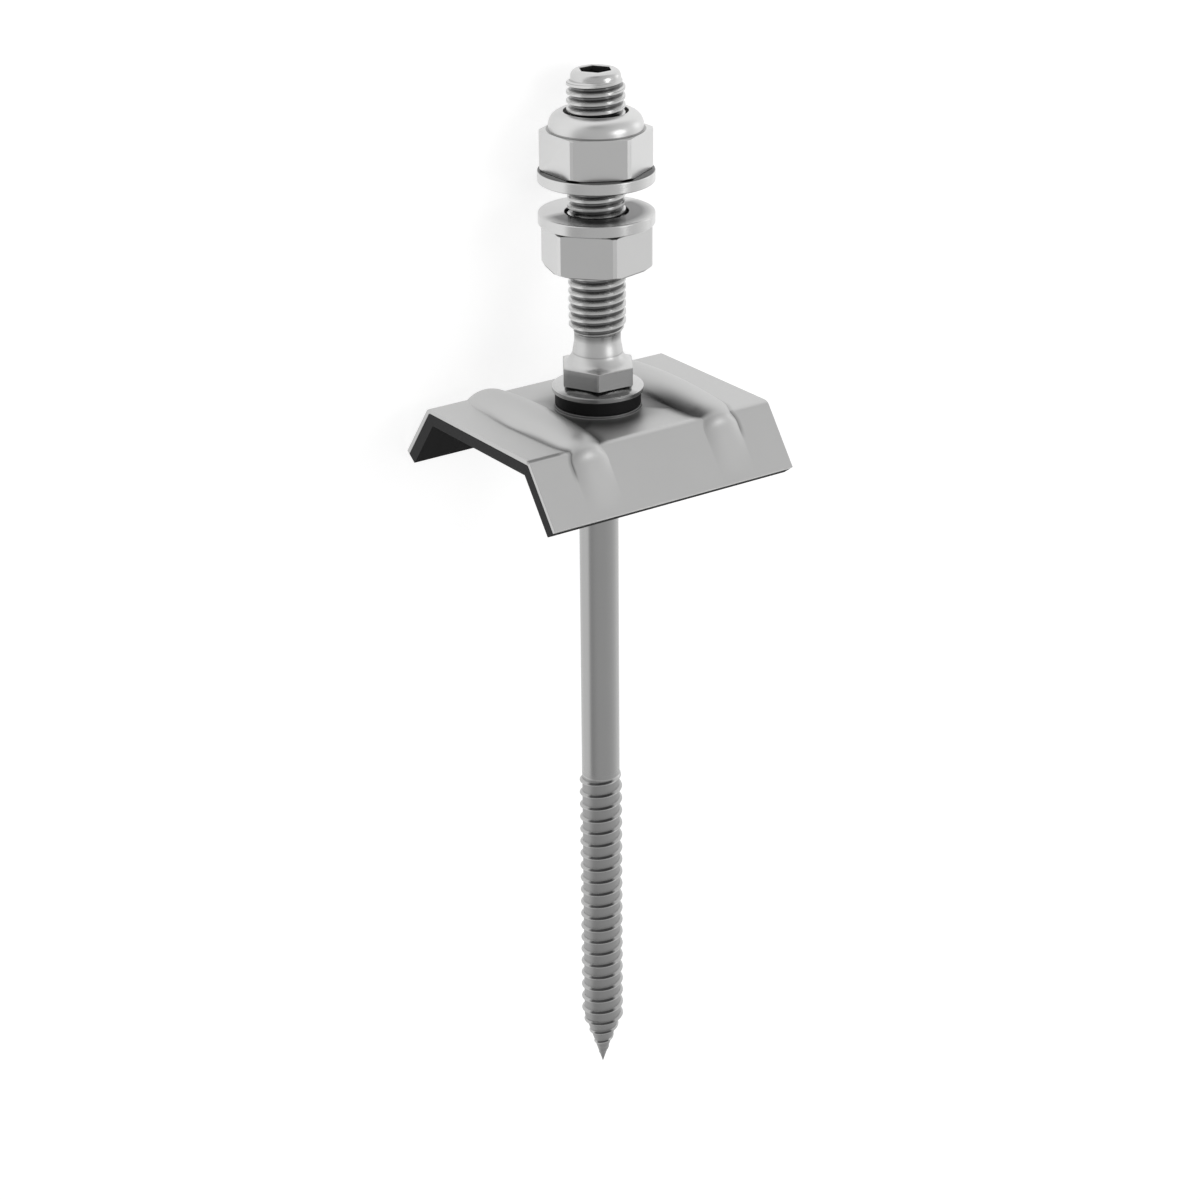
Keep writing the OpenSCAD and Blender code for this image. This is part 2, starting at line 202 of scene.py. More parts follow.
def makeWorld():
    world = bpy.data.worlds.new("studioWorld")
    world.use_nodes = True
    graph = Graph(world.node_tree)
    world.node_tree.nodes.clear()
    look = graph.add("ShaderNodeTexCoord", None, None, "Generated")
    level = studio["airLevel"]
    for facts in studio["airPatches"].values():
        near = graph.add("ShaderNodeVectorMath", {"operation": "DOT_PRODUCT"}, {
            0: look, 1: towards(*facts["towards"])}, "Value")
        sharp = 1 / (1 - math.cos(math.radians(facts["spread"])))
        level = graph.math("EXPONENT", (near - 1) * sharp) * facts["gain"] + level
    height = graph.add("ShaderNodeSeparateXYZ", None, {0: look}, "Z")
    level = graph.math("EXPONENT", height.max(0.0) * -studio["horizonFall"]) * studio["horizonGain"] + level
    air = graph.add("ShaderNodeBackground", None, {
        "Color": (1, 1, 1, 1), "Strength": level.max(studio["airLeast"])})
    graph.add("ShaderNodeOutputWorld", None, {"Surface": air})
    bpy.context.scene.world = world


makeFloor()
makeLamps()
makeWorld()
bpy.context.scene.view_settings.view_transform = "Standard"
print("studio lit")


# Finishes
def uprightPoint(graph):
    point = graph.add("ShaderNodeTexCoord", None, None, "Object")
    back = placement.inverted()
    return graph.add("ShaderNodeMapping", {"vector_type": "POINT"}, {
        0: point, 1: back.translation, 2: back.to_euler()})


def scaledPoint(graph, point, sizes):
    return graph.add("ShaderNodeVectorMath", {"operation": "MULTIPLY"}, {0: point, 1: sizes})


# A painted shade darkens one zone, standing in for shadow and dark reflections. z is its height and r its
# distance from the bolt's axis, with edge and soft as the widths over which they fade. side limits it to one
# side of the axis, turned by facing and faded over blur. A painted thread shade follows the helix: dark is
# its share of the pitch, counted from the crest.
# dull adds roughness between two heights.
steelFinishes = {
    "boltSteel": {
        "colour": 0.62, "rough": 0.25, "grain": (900, 900, 9000), "grainShare": 0.06, "bump": 0.006,
        # painted shade and painted reflection: the shank and wood thread darker as under the saddle, the
        # point darker, the collar's faces darker and its left face darker still, dark bands round the neck
        # and a dark socket
        "paintedShades": [
            {"z": (-72.2, 2), "r": (-1, 4.6), "soft": 1.0, "amount": 0.34},
            {"z": (-140, -131.6), "r": (-1, 4.6), "soft": 1.0, "edge": 1.0, "amount": 0.3},
            {"z": (-140, -72.4), "r": (-1, 4.6), "soft": 1.0, "amount": 0.18},
            {"z": (4.4, 7.8), "r": (5.0, 9), "soft": 0.15, "amount": 0.42},
            {"z": (4.4, 7.4), "r": (5.0, 9), "soft": 0.15, "edge": 1.2, "amount": 0.36,
             "side": (-20, -0.1), "facing": 125, "blur": 0.3},
            {"z": (9.8, 10.0), "r": (-1, 9), "soft": 0.3, "amount": 0.3},
            {"z": (12.7, 14.0), "r": (-1, 9), "soft": 0.6, "edge": 0.9, "amount": 0.5},
            {"z": (50, 58.85), "r": (-1, 2.95), "soft": 0.1, "amount": 0.5}],
        # painted shade along the helix: dark bands in the stud thread's grooves with a thin dark line by each
        # crest, dark dashes by the wood thread's crests on its front side and darker valleys between them
        "paintedThreadShades": [
            {"z": (13.7, 57.4), "pitch": 1.5, "at": 15.2, "turn": 235.0,
             "dark": (0.27, 0.6), "soft": 0.04, "amount": 0.74},
            {"z": (13.7, 57.4), "pitch": 1.5, "at": 15.2, "turn": 235.0,
             "dark": (0.07, 0.11), "soft": 0.03, "amount": 0.6},
            {"z": (-131.8, -72.2), "pitch": 2.6, "at": -73.74, "turn": 145.0,
             "dark": (0.02, 0.15), "soft": 0.04, "amount": 0.82,
             "side": (-2, -0.8), "facing": 35, "blur": 0.12},
            {"z": (-131.6, -72.4), "pitch": 2.6, "at": -73.74, "turn": 145.0,
             "dark": (0.15, 0.86), "soft": 0.05, "amount": 0.3}],
        "dull": [{"z": (-200, -71.9), "by": 0.2}, {"z": (8.2, 13.4), "by": 0.14}]},
    "discSteel": {
        "colour": 0.58, "rough": 0.26, "grain": (2500, 2500, 2500), "grainShare": 0.05, "bump": 0.005,
        # painted shade and painted reflection: the front of the disc's rim is darker
        "paintedShades": [{"z": (0, 5), "r": (6.7, 9), "soft": 0.5, "amount": 0.54,
                    "side": (-20, -4.6), "facing": 35}]},
    "nutSteel": {
        "colour": 0.68, "rough": 0.33, "grain": (3000, 3000, 900), "grainShare": 0.03, "bump": 0.001,
        # painted shade: dark lines where the nuts meet the washers, at the plain nut's foot and where the
        # lock nut's crown begins
        "paintedShades": [
            {"z": (32.5, 33.1), "r": (-1, 12), "soft": 0.1, "edge": 0.15, "amount": 0.75},
            {"z": (25.0, 25.42), "r": (7, 12), "soft": 0.1, "edge": 0.12, "amount": 0.6},
            {"z": (48.8, 49.25), "r": (-1, 8.42), "soft": 0.1, "edge": 0.12, "amount": 0.5}]},
    "washerSteel": {
        "colour": 0.66, "rough": 0.24, "grain": (2500, 2500, 4000), "grainShare": 0.05, "bump": 0.005,
        # painted shade and painted reflection: the front half of the lower washer's top and all of the upper
        # washer, under the lock nut, are darker
        "paintedShades": [
            {"z": (0, 38), "r": (-1, 8.9), "soft": 2.4, "amount": 0.84, "side": (-20, 2), "facing": 0},
            {"z": (38, 60), "r": (-1, 9.92), "soft": 0.12, "amount": 0.96}]},
    "saddleSheet": {
        "colour": 0.57, "rough": 0.42, "grain": (350, 5200, 5200), "grainShare": 0.06, "bump": 0.012,
        # full strength of the sheet's painted shade in its creases, round the ring and in the fold
        "paintedShade": 1.0},
}
steelLook = {
    "grainDetail": 3.0, "grainRough": 0.6,
    "cloudSize": (160, 160, 160), "cloudDetail": 2.0, "cloudShare": 0.08,
    "paleTone": (1.2, 1.2, 1.2), "deepTone": (0.8, 0.8, 0.79),
    "paintedShadeTone": (0.015, 0.015, 0.016, 1), "paintedSaddleShadeTone": (0.02, 0.02, 0.021, 1),
    "roughShare": 0.6, "bumpReach": 0.001, "dullFade": 1.5,
    "zoneEdge": 0.2, "sideBlur": 2.0, "threadEdge": 0.6,
    "wholeTurns": 50,   # keeps a thread's phase above zero
}


def within(value, low, high, soft):
    return ((value - low) / soft + 0.5).clamp() * ((high - value) / soft + 0.5).clamp()


def sideOf(x, y, zone):
    if "side" not in zone:
        return 1.0
    turn, blur = math.radians(zone["facing"]), zone.get("blur", steelLook["sideBlur"])
    return within(y * math.cos(turn) + x * math.sin(turn), *zone["side"], blur)


def paintedShadeOf(graph, point, facts):
    spot = graph.add("ShaderNodeSeparateXYZ", None, {0: point})
    x, y, z = (spot.out(letter) / mm for letter in "XYZ")
    away = (x * x + y * y) ** 0.5
    kept = 1.0
    for zone in facts.get("paintedShades", []):
        mask = within(z, *zone["z"], zone.get("edge", steelLook["zoneEdge"]))
        mask = mask * within(away, *zone["r"], zone["soft"])
        kept = kept * (1 - mask * sideOf(x, y, zone) * zone["amount"])
    for zone in facts.get("paintedThreadShades", []):
        turns = y.math("ARCTAN2", y, x) / (2 * math.pi)
        wound = (z - zone["at"]) / zone["pitch"] - turns
        phase = graph.math("FRACT", wound + (zone["turn"] / 360 + steelLook["wholeTurns"]))
        mask = within(z, *zone["z"], steelLook["threadEdge"]) * within(phase, *zone["dark"], zone["soft"])
        kept = kept * (1 - mask * sideOf(x / away, y / away, zone) * zone["amount"])
    return 1 - kept


def twoTones(colour, look):
    return ((*(colour * part for part in look[tint]), 1) for tint in ("deepTone", "paleTone"))


def makeSteel(name):
    facts = steelFinishes[name]
    material = bpy.data.materials.new(name)
    material.use_nodes = True
    graph = Graph(material.node_tree)
    material.node_tree.nodes.clear()
    point = uprightPoint(graph)
    grain = graph.add("ShaderNodeTexNoise", {"noise_dimensions": "3D"}, {
        "Vector": scaledPoint(graph, point, facts["grain"]), "Scale": 1.0,
        "Detail": steelLook["grainDetail"], "Roughness": steelLook["grainRough"]}, "Fac")
    clouds = graph.add("ShaderNodeTexNoise", {"noise_dimensions": "3D"}, {
        "Vector": scaledPoint(graph, point, steelLook["cloudSize"]), "Scale": 1.0,
        "Detail": steelLook["cloudDetail"]}, "Fac")
    change = (grain - 0.5) * facts["grainShare"] + (clouds - 0.5) * steelLook["cloudShare"]
    tone = graph.mix((change + 0.5).clamp(), *twoTones(facts["colour"], steelLook))
    # painted shade: the zones above are darkened towards a near-black tone
    if "paintedShades" in facts:
        tone = graph.mix(paintedShadeOf(graph, point, facts), tone, steelLook["paintedShadeTone"])
    # painted shade of the saddle sheet, read from its vertex attribute
    if "paintedShade" in facts:
        paintedShade = graph.add("ShaderNodeAttribute", {"attribute_name": "paintedShade"}, None, "Fac")
        tone = graph.mix(paintedShade * facts["paintedShade"], tone, steelLook["paintedSaddleShadeTone"])
    rough = facts["rough"]
    for band in facts.get("dull", []):
        height = graph.add("ShaderNodeSeparateXYZ", None, {0: point}, "Z") / mm
        rough = within(height, *band["z"], steelLook["dullFade"]) * band["by"] + rough
    bump = graph.add("ShaderNodeBump", None, {
        "Strength": facts["bump"], "Distance": steelLook["bumpReach"], "Height": grain})
    body = graph.add("ShaderNodeBsdfPrincipled", None, {
        "Base Color": tone, "Metallic": 1.0,
        "Roughness": (change * steelLook["roughShare"] + rough).clamp(), "Normal": bump})
    graph.add("ShaderNodeOutputMaterial", None, {"Surface": body})
    return material


softFinishes = {
    "ringRubber": {"colour": 0.006, "rough": 0.55, "shine": 0.18, "speckle": 5000, "bump": 0.08},
    # painted light and shade: the lining's faces are near black and its cut ends painted greyer
    "liningRubber": {"colour": 0.008, "rough": 0.75, "shine": 0.12, "speckle": 4200, "bump": 0.15,
                     "cutEnd": 24.97, "paintedEndTone": (0.07, 0.07, 0.071, 1)},
    "ringPlastic": {"colour": 0.05, "rough": 0.5, "shine": 0.4, "speckle": 3000, "bump": 0.05},
}
softLook = {
    "detail": 3.0, "deepTone": (0.7, 0.7, 0.72), "paleTone": (1.4, 1.4, 1.42),
    "cutFade": 0.1, "roughShare": 0.2, "bumpReach": 0.0005,
}


def makeSoft(name):
    facts = softFinishes[name]
    material = bpy.data.materials.new(name)
    material.use_nodes = True
    graph = Graph(material.node_tree)
    material.node_tree.nodes.clear()
    point = uprightPoint(graph)
    speckle = graph.add("ShaderNodeTexNoise", None, {
        "Vector": scaledPoint(graph, point, [facts["speckle"]] * 3), "Scale": 1.0,
        "Detail": softLook["detail"]}, "Fac")
    tone = graph.mix(speckle, *twoTones(facts["colour"], softLook))
    if "cutEnd" in facts:   # painted light: the strip's cut ends are painted greyer than its faces, which stay dark as in shade
        off = graph.math("ABSOLUTE", graph.add("ShaderNodeSeparateXYZ", None, {0: point}, "X")) / mm
        tone = graph.mix(((off - facts["cutEnd"]) / softLook["cutFade"]).clamp(), tone, facts["paintedEndTone"])
    bump = graph.add("ShaderNodeBump", None, {
        "Strength": facts["bump"], "Distance": softLook["bumpReach"], "Height": speckle})
    body = graph.add("ShaderNodeBsdfPrincipled", None, {
        "Base Color": tone, "Roughness": ((speckle - 0.5) * softLook["roughShare"] + facts["rough"]).clamp(),
        "Normal": bump, "Specular IOR Level": facts["shine"]})
    graph.add("ShaderNodeOutputMaterial", None, {"Surface": body})
    return material


finishes = {name: makeSteel(name) for name in steelFinishes}
finishes.update({name: makeSoft(name) for name in softFinishes})
print("finishes made")


# Threads: a grid wound into a tube, one pitch to a band of rows, between two plain rings
def threadTree():
    tree = bpy.data.node_groups.new("threadTube", "GeometryNodeTree")
    for word in ("Columns", "Rows"):
        tree.interface.new_socket(name=word, in_out="INPUT", socket_type="NodeSocketInt")
    for word in ("Rows In Pitch", "Pitch", "Start", "Low", "High", "Turn", "Core Radius", "Ridge",
                 "Ridge Base", "Ridge Crest", "Rounded", "Low Radius", "Low Growth", "High Radius",
                 "High Growth", "Point Length", "Point Radius"):
        tree.interface.new_socket(name=word, in_out="INPUT", socket_type="NodeSocketFloat")
    tree.interface.new_socket(name="Finish", in_out="INPUT", socket_type="NodeSocketMaterial")
    tree.interface.new_socket(name="Thread", in_out="OUTPUT", socket_type="NodeSocketGeometry")
    graph = Graph(tree)
    given = graph.add("NodeGroupInput")
    ask = given.out
    grid = graph.add("GeometryNodeMeshGrid", None, {
        "Size X": 1.0, "Size Y": 1.0,
        "Vertices X": ask("Columns") + 1, "Vertices Y": ask("Rows") + 1}, "Mesh")
    spot = graph.add("ShaderNodeSeparateXYZ", None, {0: graph.add("GeometryNodeInputPosition")})
    around = spot.out("X") + 0.5
    turns = (spot.out("Y") + 0.5) * ask("Rows") / ask("Rows In Pitch")
    angle = around * (2 * math.pi) + ask("Turn")
    height = (ask("Start") + ask("Pitch") * (turns + around)).max(ask("Low")).min(ask("High"))
    nudge = 0.0001   # keeps the rows off the seam between two turns
    offCrest = graph.math("ABSOLUTE", graph.math("FRACT", turns + nudge) - 0.5)
    flank = ask("Ridge Base") / 2 - ask("Ridge Crest") / 2
    straight = ((ask("Ridge Base") / 2 - offCrest) / flank).clamp()
    curved = straight * straight * (3 - 2 * straight)
    shape = straight + (curved - straight) * ask("Rounded")
    onPoint = ((height - ask("Low")) / ask("Point Length")).clamp()
    core = ask("Point Radius") + (ask("Core Radius") - ask("Point Radius")) * onPoint
    radius = core + ask("Ridge") * shape * onPoint
    lowShare = ((height - ask("Low")) / ask("Low Growth")).clamp()
    highShare = ((ask("High") - height) / ask("High Growth")).clamp()
    radius = ask("Low Radius") + (radius - ask("Low Radius")) * lowShare
    radius = ask("High Radius") + (radius - ask("High Radius")) * highShare
    place = graph.add("ShaderNodeCombineXYZ", None, {
        0: radius * graph.math("COSINE", angle), 1: radius * graph.math("SINE", angle), 2: height})
    wound = graph.add("GeometryNodeSetPosition", None, {"Geometry": grid, "Position": place})
    closed = graph.add("GeometryNodeMergeByDistance", None, {"Geometry": wound, "Distance": 0.0004})
    real = graph.add("GeometryNodeRealizeInstances", None, {"Geometry": closed})
    painted = graph.add("GeometryNodeSetMaterial", None, {"Geometry": real, "Material": ask("Finish")})
    tree.nodes.new("NodeGroupOutput")
    tree.links.new(painted.socket, tree.nodes[-1].inputs[0])
    return tree


def grownMesh(name, tree, inputs):
    carrier = bpy.data.objects.new(name + "Carrier", bpy.data.meshes.new(name))
    bpy.context.scene.collection.objects.link(carrier)
    modifier = carrier.modifiers.new(name, "NODES")
    modifier.node_group = tree
    sockets = {item.name: item.identifier for item in tree.interface.items_tree if item.in_out == "INPUT"}
    for word, value in inputs.items():
        modifier[sockets[word]] = value
    bpy.context.view_layer.update()
    evaluated = carrier.evaluated_get(bpy.context.evaluated_depsgraph_get())
    mesh = bpy.data.meshes.new_from_object(evaluated)
    bpy.data.objects.remove(carrier)
    return mesh


# Hanger bolt: wood thread, shank, collar, neck, stud thread, pilot end with its socket
bolt = {
    "columns": 84, "sharpAngle": 35, "merge": 0.001,
    "tip": -135.45, "pointStart": 0.55, "pointLength": 10.4, "pointRadius": 0.2,
    "tipRise": 0.2, "tipRadius": 0.02,
    "woodEnd": -71.9, "woodCore": 3.44, "woodRidge": 0.5, "woodPitch": 2.6,
    "woodCrestAt": -73.74, "woodCrestTurn": 145.0, "woodRows": 18,
    "woodShape": {"Ridge Base": 0.33, "Ridge Crest": 0.08, "Rounded": 0.4, "Low Growth": 0.2,
                  "High Growth": 1.1},
    "shank": 3.5, "shankRings": (-40.0, 0.0),
    "collarFoot": 4.55, "collarEdge": 7.85, "collarTop": 9.6, "collarAcross": 12.0, "collarTurn": -3.5,
    "cornerSoft": 0.05, "footSoft": 0.12, "topSoft": 0.1,
    "shoulder": 6.35, "shoulderSteps": 10, "shoulderFade": 1.5, "shoulderSlope": 0.35,
    "neckFoot": 4.375, "neckWaist": 4.035, "neckWaistAt": 12.3, "neckSteps": 8,
    "threadFoot": 13.5, "threadTop": 57.6, "threadCore": 4.1, "threadCrest": 4.97, "threadPitch": 1.5,
    "threadCrestAt": 15.2, "threadCrestTurn": 235.0, "threadRows": 12,
    "threadShape": {"Ridge Base": 0.82, "Ridge Crest": 0.3, "Rounded": 1.0, "Low Growth": 1.3,
                    "High Growth": 0.75, "Point Length": 0.01},
    "pilot": 4.25, "pilotRound": 1.1, "pilotSteps": 6, "studEnd": 59.1,
    "socketAcross": 5.0, "socketTurn": 3.6, "socketDepth": 5.0, "socketLip": 0.12,
}


# The first row is put so that a crest lies at crestAt on the side crestTurn
def threadInputs(pitch, crestAt, crestTurn, low, high, rowsInPitch, others):
    turn = bolt["collarTurn"]
    start = crestAt + pitch * ((turn - crestTurn) / 360 - 0.5)
    start -= pitch * math.ceil((start + pitch - low) / pitch)
    inputs = {
        "Columns": bolt["columns"], "Rows": rowsInPitch * math.ceil((high - start) / pitch),
        "Rows In Pitch": float(rowsInPitch), "Pitch": pitch, "Start": start, "Low": low, "High": high,
        "Turn": math.radians(turn), "Finish": finishes["boltSteel"],
    }
    inputs.update(others)
    return inputs


def ringOf(radius, height, turn=0.0):
    points = []
    for column in range(bolt["columns"]):
        angle = math.radians(bolt["collarTurn"] + turn + 360 * column / bolt["columns"])
        r = radius(angle) if callable(radius) else radius
        points.append((r * math.cos(angle), r * math.sin(angle), height))
    return points


# Distance from the axis to the side of a hexagon, by angle, with its corners cut back by soften
def hexRadius(across, turn, soften=0.0):
    def radius(angle):
        off = (math.degrees(angle) - turn) % 60
        off = min(off, 60 - off)
        corner = across / 2 / math.cos(math.radians(30))
        return min(across / 2 / math.cos(math.radians(30 - off)), corner - soften)
    return radius


def bridge(work, lower, upper):
    for column in range(len(lower)):
        after = (column + 1) % len(lower)
        work.faces.new((lower[column], lower[after], upper[after], upper[column]))


def addRings(work, rings, closeLast=False):
    rows = [[work.verts.new(p) for p in ring] for ring in rings]
    for lower, upper in zip(rows, rows[1:]):
        bridge(work, lower, upper)
    if closeLast:
        last = rows[-1]
        centre = work.verts.new(sum((v.co for v in last), Vector()) / len(last))
        for column in range(len(last)):
            work.faces.new((last[column], last[(column + 1) % len(last)], centre))


def makePiece(work, name, finish, sharpAngle):
    mesh = bpy.data.meshes.new(name)
    work.to_mesh(mesh)
    work.free()
    mesh.materials.clear()
    mesh.materials.append(finishes[finish])
    mesh.polygons.foreach_set("use_smooth", [True] * len(mesh.polygons))
    mesh.set_sharp_from_angle(angle=math.radians(sharpAngle))
    piece = bpy.data.objects.new(name, mesh)
    bpy.context.scene.collection.objects.link(piece)
    return piece


def closeMesh(work, merge):
    bmesh.ops.remove_doubles(work, verts=work.verts, dist=merge)
    bmesh.ops.recalc_face_normals(work, faces=work.faces)
    work.transform(uprightToFrame)


def standFor(piece, node, body):
    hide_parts(node)
    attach(piece, body)


def addThreads(work):
    tree = threadTree()
    wood = dict(bolt["woodShape"])
    wood.update({
        "Core Radius": bolt["woodCore"], "Ridge": bolt["woodRidge"],
        "Low Radius": bolt["pointRadius"], "High Radius": bolt["shank"],
        "Point Length": bolt["pointLength"], "Point Radius": bolt["pointRadius"]})
    work.from_mesh(grownMesh("woodThread", tree, threadInputs(
        bolt["woodPitch"], bolt["woodCrestAt"], bolt["woodCrestTurn"],
        bolt["tip"] + bolt["pointStart"], bolt["woodEnd"], bolt["woodRows"], wood)))
    stud = dict(bolt["threadShape"])
    stud.update({
        "Core Radius": bolt["threadCore"], "Ridge": bolt["threadCrest"] - bolt["threadCore"],
        "Low Radius": bolt["neckWaist"], "High Radius": bolt["pilot"], "Point Radius": bolt["threadCore"]})
    work.from_mesh(grownMesh("studThread", tree, threadInputs(
        bolt["threadPitch"], bolt["threadCrestAt"], bolt["threadCrestTurn"],
        bolt["threadFoot"], bolt["threadTop"], bolt["threadRows"], stud)))


def shankAndCollar():
    shank, foot, edge = bolt["shank"], bolt["collarFoot"], bolt["collarEdge"]
    collar = hexRadius(bolt["collarAcross"], bolt["collarTurn"], bolt["cornerSoft"])
    rings = [ringOf(shank, height) for height in (bolt["woodEnd"], *bolt["shankRings"], foot)]
    rings += [ringOf(lambda angle: collar(angle) - bolt["footSoft"], foot),
              ringOf(collar, foot + bolt["footSoft"]), ringOf(collar, edge - bolt["topSoft"]),
              ringOf(lambda angle: collar(angle) - bolt["topSoft"], edge)]
    for step in range(1, bolt["shoulderSteps"]):   # from the hexagon to the round neck
        share = step / bolt["shoulderSteps"]
        hexPart = (1 - share) ** bolt["shoulderFade"]

        def radius(angle):
            outside = (collar(angle) - bolt["topSoft"]) * hexPart + bolt["shoulder"] * (1 - hexPart)
            return outside + (bolt["neckFoot"] + bolt["topSoft"] - outside) * share
        slope = bolt["shoulderSlope"]
        rise = (bolt["collarTop"] - edge) * (slope * share + (1 - slope) * share ** 3)
        rings.append(ringOf(radius, edge + rise))
    return rings


def neck():
    rings, foot = [], bolt["collarTop"] + bolt["topSoft"]
    for step in range(bolt["neckSteps"] + 1):
        share = step / bolt["neckSteps"]
        radius = bolt["neckFoot"] + (bolt["neckWaist"] - bolt["neckFoot"]) * share * share * (3 - 2 * share)
        rings.append(ringOf(radius, foot + (bolt["neckWaistAt"] - foot) * share))
    return rings + [ringOf(bolt["neckWaist"], bolt["threadFoot"])]


def pilotAndSocket():
    rings, end, lip = [ringOf(bolt["pilot"], bolt["threadTop"])], bolt["studEnd"], bolt["socketLip"]
    for step in range(bolt["pilotSteps"] + 1):
        angle = math.radians(90 * step / bolt["pilotSteps"])
        rings.append(ringOf(bolt["pilot"] - bolt["pilotRound"] * (1 - math.cos(angle)),
                            end - bolt["pilotRound"] * (1 - math.sin(angle))))
    socket = hexRadius(bolt["socketAcross"], bolt["socketTurn"])
    twist = bolt["socketTurn"] - bolt["collarTurn"] - 2 * 360 / bolt["columns"]
    return rings + [ringOf(lambda angle: socket(angle) + lip, end, twist), ringOf(socket, end - lip, twist),
                    ringOf(socket, end - bolt["socketDepth"], twist)]


def makeBolt():
    work = bmesh.new()
    addThreads(work)
    radius, tip = bolt["pointRadius"], bolt["tip"]
    addRings(work, [ringOf(radius, tip + bolt["pointStart"]), ringOf(radius / 2, tip + bolt["tipRise"]),
                    ringOf(bolt["tipRadius"], tip)], closeLast=True)
    addRings(work, shankAndCollar() + neck())
    addRings(work, pilotAndSocket(), closeLast=True)
    closeMesh(work, bolt["merge"])
    piece = makePiece(work, "hangerBoltThreaded", "boltSteel", bolt["sharpAngle"])
    standFor(piece, "hanger_bolt", "bolt")
    print("hanger bolt made:", len(piece.data.polygons), "faces")


makeBolt()


# Saddle: the folded sheet as rows of points across its side view, with columns that follow the bead creases
saddle = {
    "length": 50.2, "crownWidth": 31.7, "flankOut": 7.44, "flankDrop": 10.15, "sheet": 0.8, "foldRadius": 1.5,
    "beadAt": 13.8, "beadWidth": 10.4, "beadHeight": 2.7, "beadEdge": 1.0, "beadSink": 0.02,
    "flankReach": 3.6, "flankFade": 11.0, "flankShare": 0.66,
    "archRadius": 110.0, "turnRadius": 7.0, "flankHeight": 1.1, "runOut": 9.0,
    "seatAcross": 15.3, "seatHeight": 0.5, "hole": 9.0, "patchReach": 9.2,
    "crownRows": 30, "foldRows": 9, "flankRows": 30,
    "beadColumns": 30, "outerColumns": 12, "middleColumns": 26, "riseTries": 8,
    "creasePad": 0.14, "flankBlend": (0.2, 2.4), "flankEase": (-0.15, 1.05), "flankRound": (0.85, 0.6),
    "edgeSoft": 0.09, "edgeAngle": 60, "merge": 0.0001,
    "paintedCreaseShade": 0.6, "paintedRingShade": 0.62, "paintedFoldShade": 0.4, "paintedBeadSideShade": (0.7, 0.85),
}
foldAngle = math.atan2(saddle["flankDrop"], saddle["flankOut"])
beadSlope = 2 * math.atan2(saddle["beadHeight"], saddle["beadWidth"] / 2)
crestRound = saddle["beadWidth"] / 2 / math.sin(beadSlope) - saddle["beadEdge"]
archCentre = saddle["beadHeight"] - saddle["archRadius"]
turnAngle = foldAngle - math.acos(
    (saddle["flankHeight"] - saddle["turnRadius"] + saddle["crownWidth"] / 2 * math.sin(foldAngle)
     - archCentre * math.cos(foldAngle)) / (saddle["archRadius"] - saddle["turnRadius"]))
turnCentre = ((saddle["archRadius"] - saddle["turnRadius"]) * math.sin(turnAngle),
              archCentre + (saddle["archRadius"] - saddle["turnRadius"]) * math.cos(turnAngle))
endAngle = foldAngle + math.radians(saddle["runOut"])


# Depth under the bead's crest, which arches over the crown, turns over the fold and ends straight
def belowCrest(y, z):
    if math.atan2(y, z - archCentre) <= turnAngle:
        return saddle["archRadius"] - math.hypot(y, z - archCentre)
    y, z = y - turnCentre[0], z - turnCentre[1]
    if math.atan2(y, z) <= endAngle:
        return saddle["turnRadius"] - math.hypot(y, z)
    return saddle["turnRadius"] - y * math.sin(endAngle) - z * math.cos(endAngle)


# The bead's own cross-section: its drop at a distance from the crest, and the other way round
def beadDrop(aside):
    half, edge, sink = saddle["beadWidth"] / 2, saddle["beadEdge"], saddle["beadSink"]
    if aside <= crestRound * math.sin(beadSlope):
        return sink + crestRound - math.sqrt(crestRound ** 2 - aside ** 2)
    left = max(half - aside, 0)
    return saddle["beadHeight"] + sink - edge + math.sqrt(edge ** 2 - left ** 2)


def beadReach(drop):
    half, edge, sink = saddle["beadWidth"] / 2, saddle["beadEdge"], saddle["beadSink"]
    if drop <= sink:
        return 0.0
    if drop <= sink + crestRound * (1 - math.cos(beadSlope)):
        return crestRound * math.sin(math.acos(1 - (drop - sink) / crestRound))
    left = min(max(1 - (saddle["beadHeight"] + sink - drop) / edge, -1), 1)
    return half - edge * math.sin(math.acos(left))


# How far a point of the sheet has to rise, straight out of the sheet, to lie that drop under the crest
def riseOver(row, drop):
    rise = 0.0
    for turn in range(saddle["riseTries"]):
        rise += belowCrest(abs(row["y"]) + rise * row["outY"], row["z"] + rise * row["outZ"]) - drop
    return max(rise, 0.0)


# Over the crown a bead keeps one cross-section; down the flank it keeps its width and flattens
def riseAt(row, aside):
    if aside >= row["reach"]:
        return 0.0
    rise = riseOver(row, beadDrop(aside)) if row["onFlank"] < 1 else 0.0
    if row["onFlank"] > 0:
        left = max(1 - row["down"] / saddle["flankFade"], 0)
        crest = saddle["flankHeight"] * saddle["flankShare"] * smoothStep(*saddle["flankEase"], left)
        blunt, fading = saddle["flankRound"]
        flat = crest * (1 - (aside / row["reach"]) ** 2) ** (blunt + fading * (1 - left))
        rise += (flat - rise) * row["onFlank"]
    return rise


def spread(first, last, count):
    return [first + (last - first) * step / count for step in range(count + 1)]


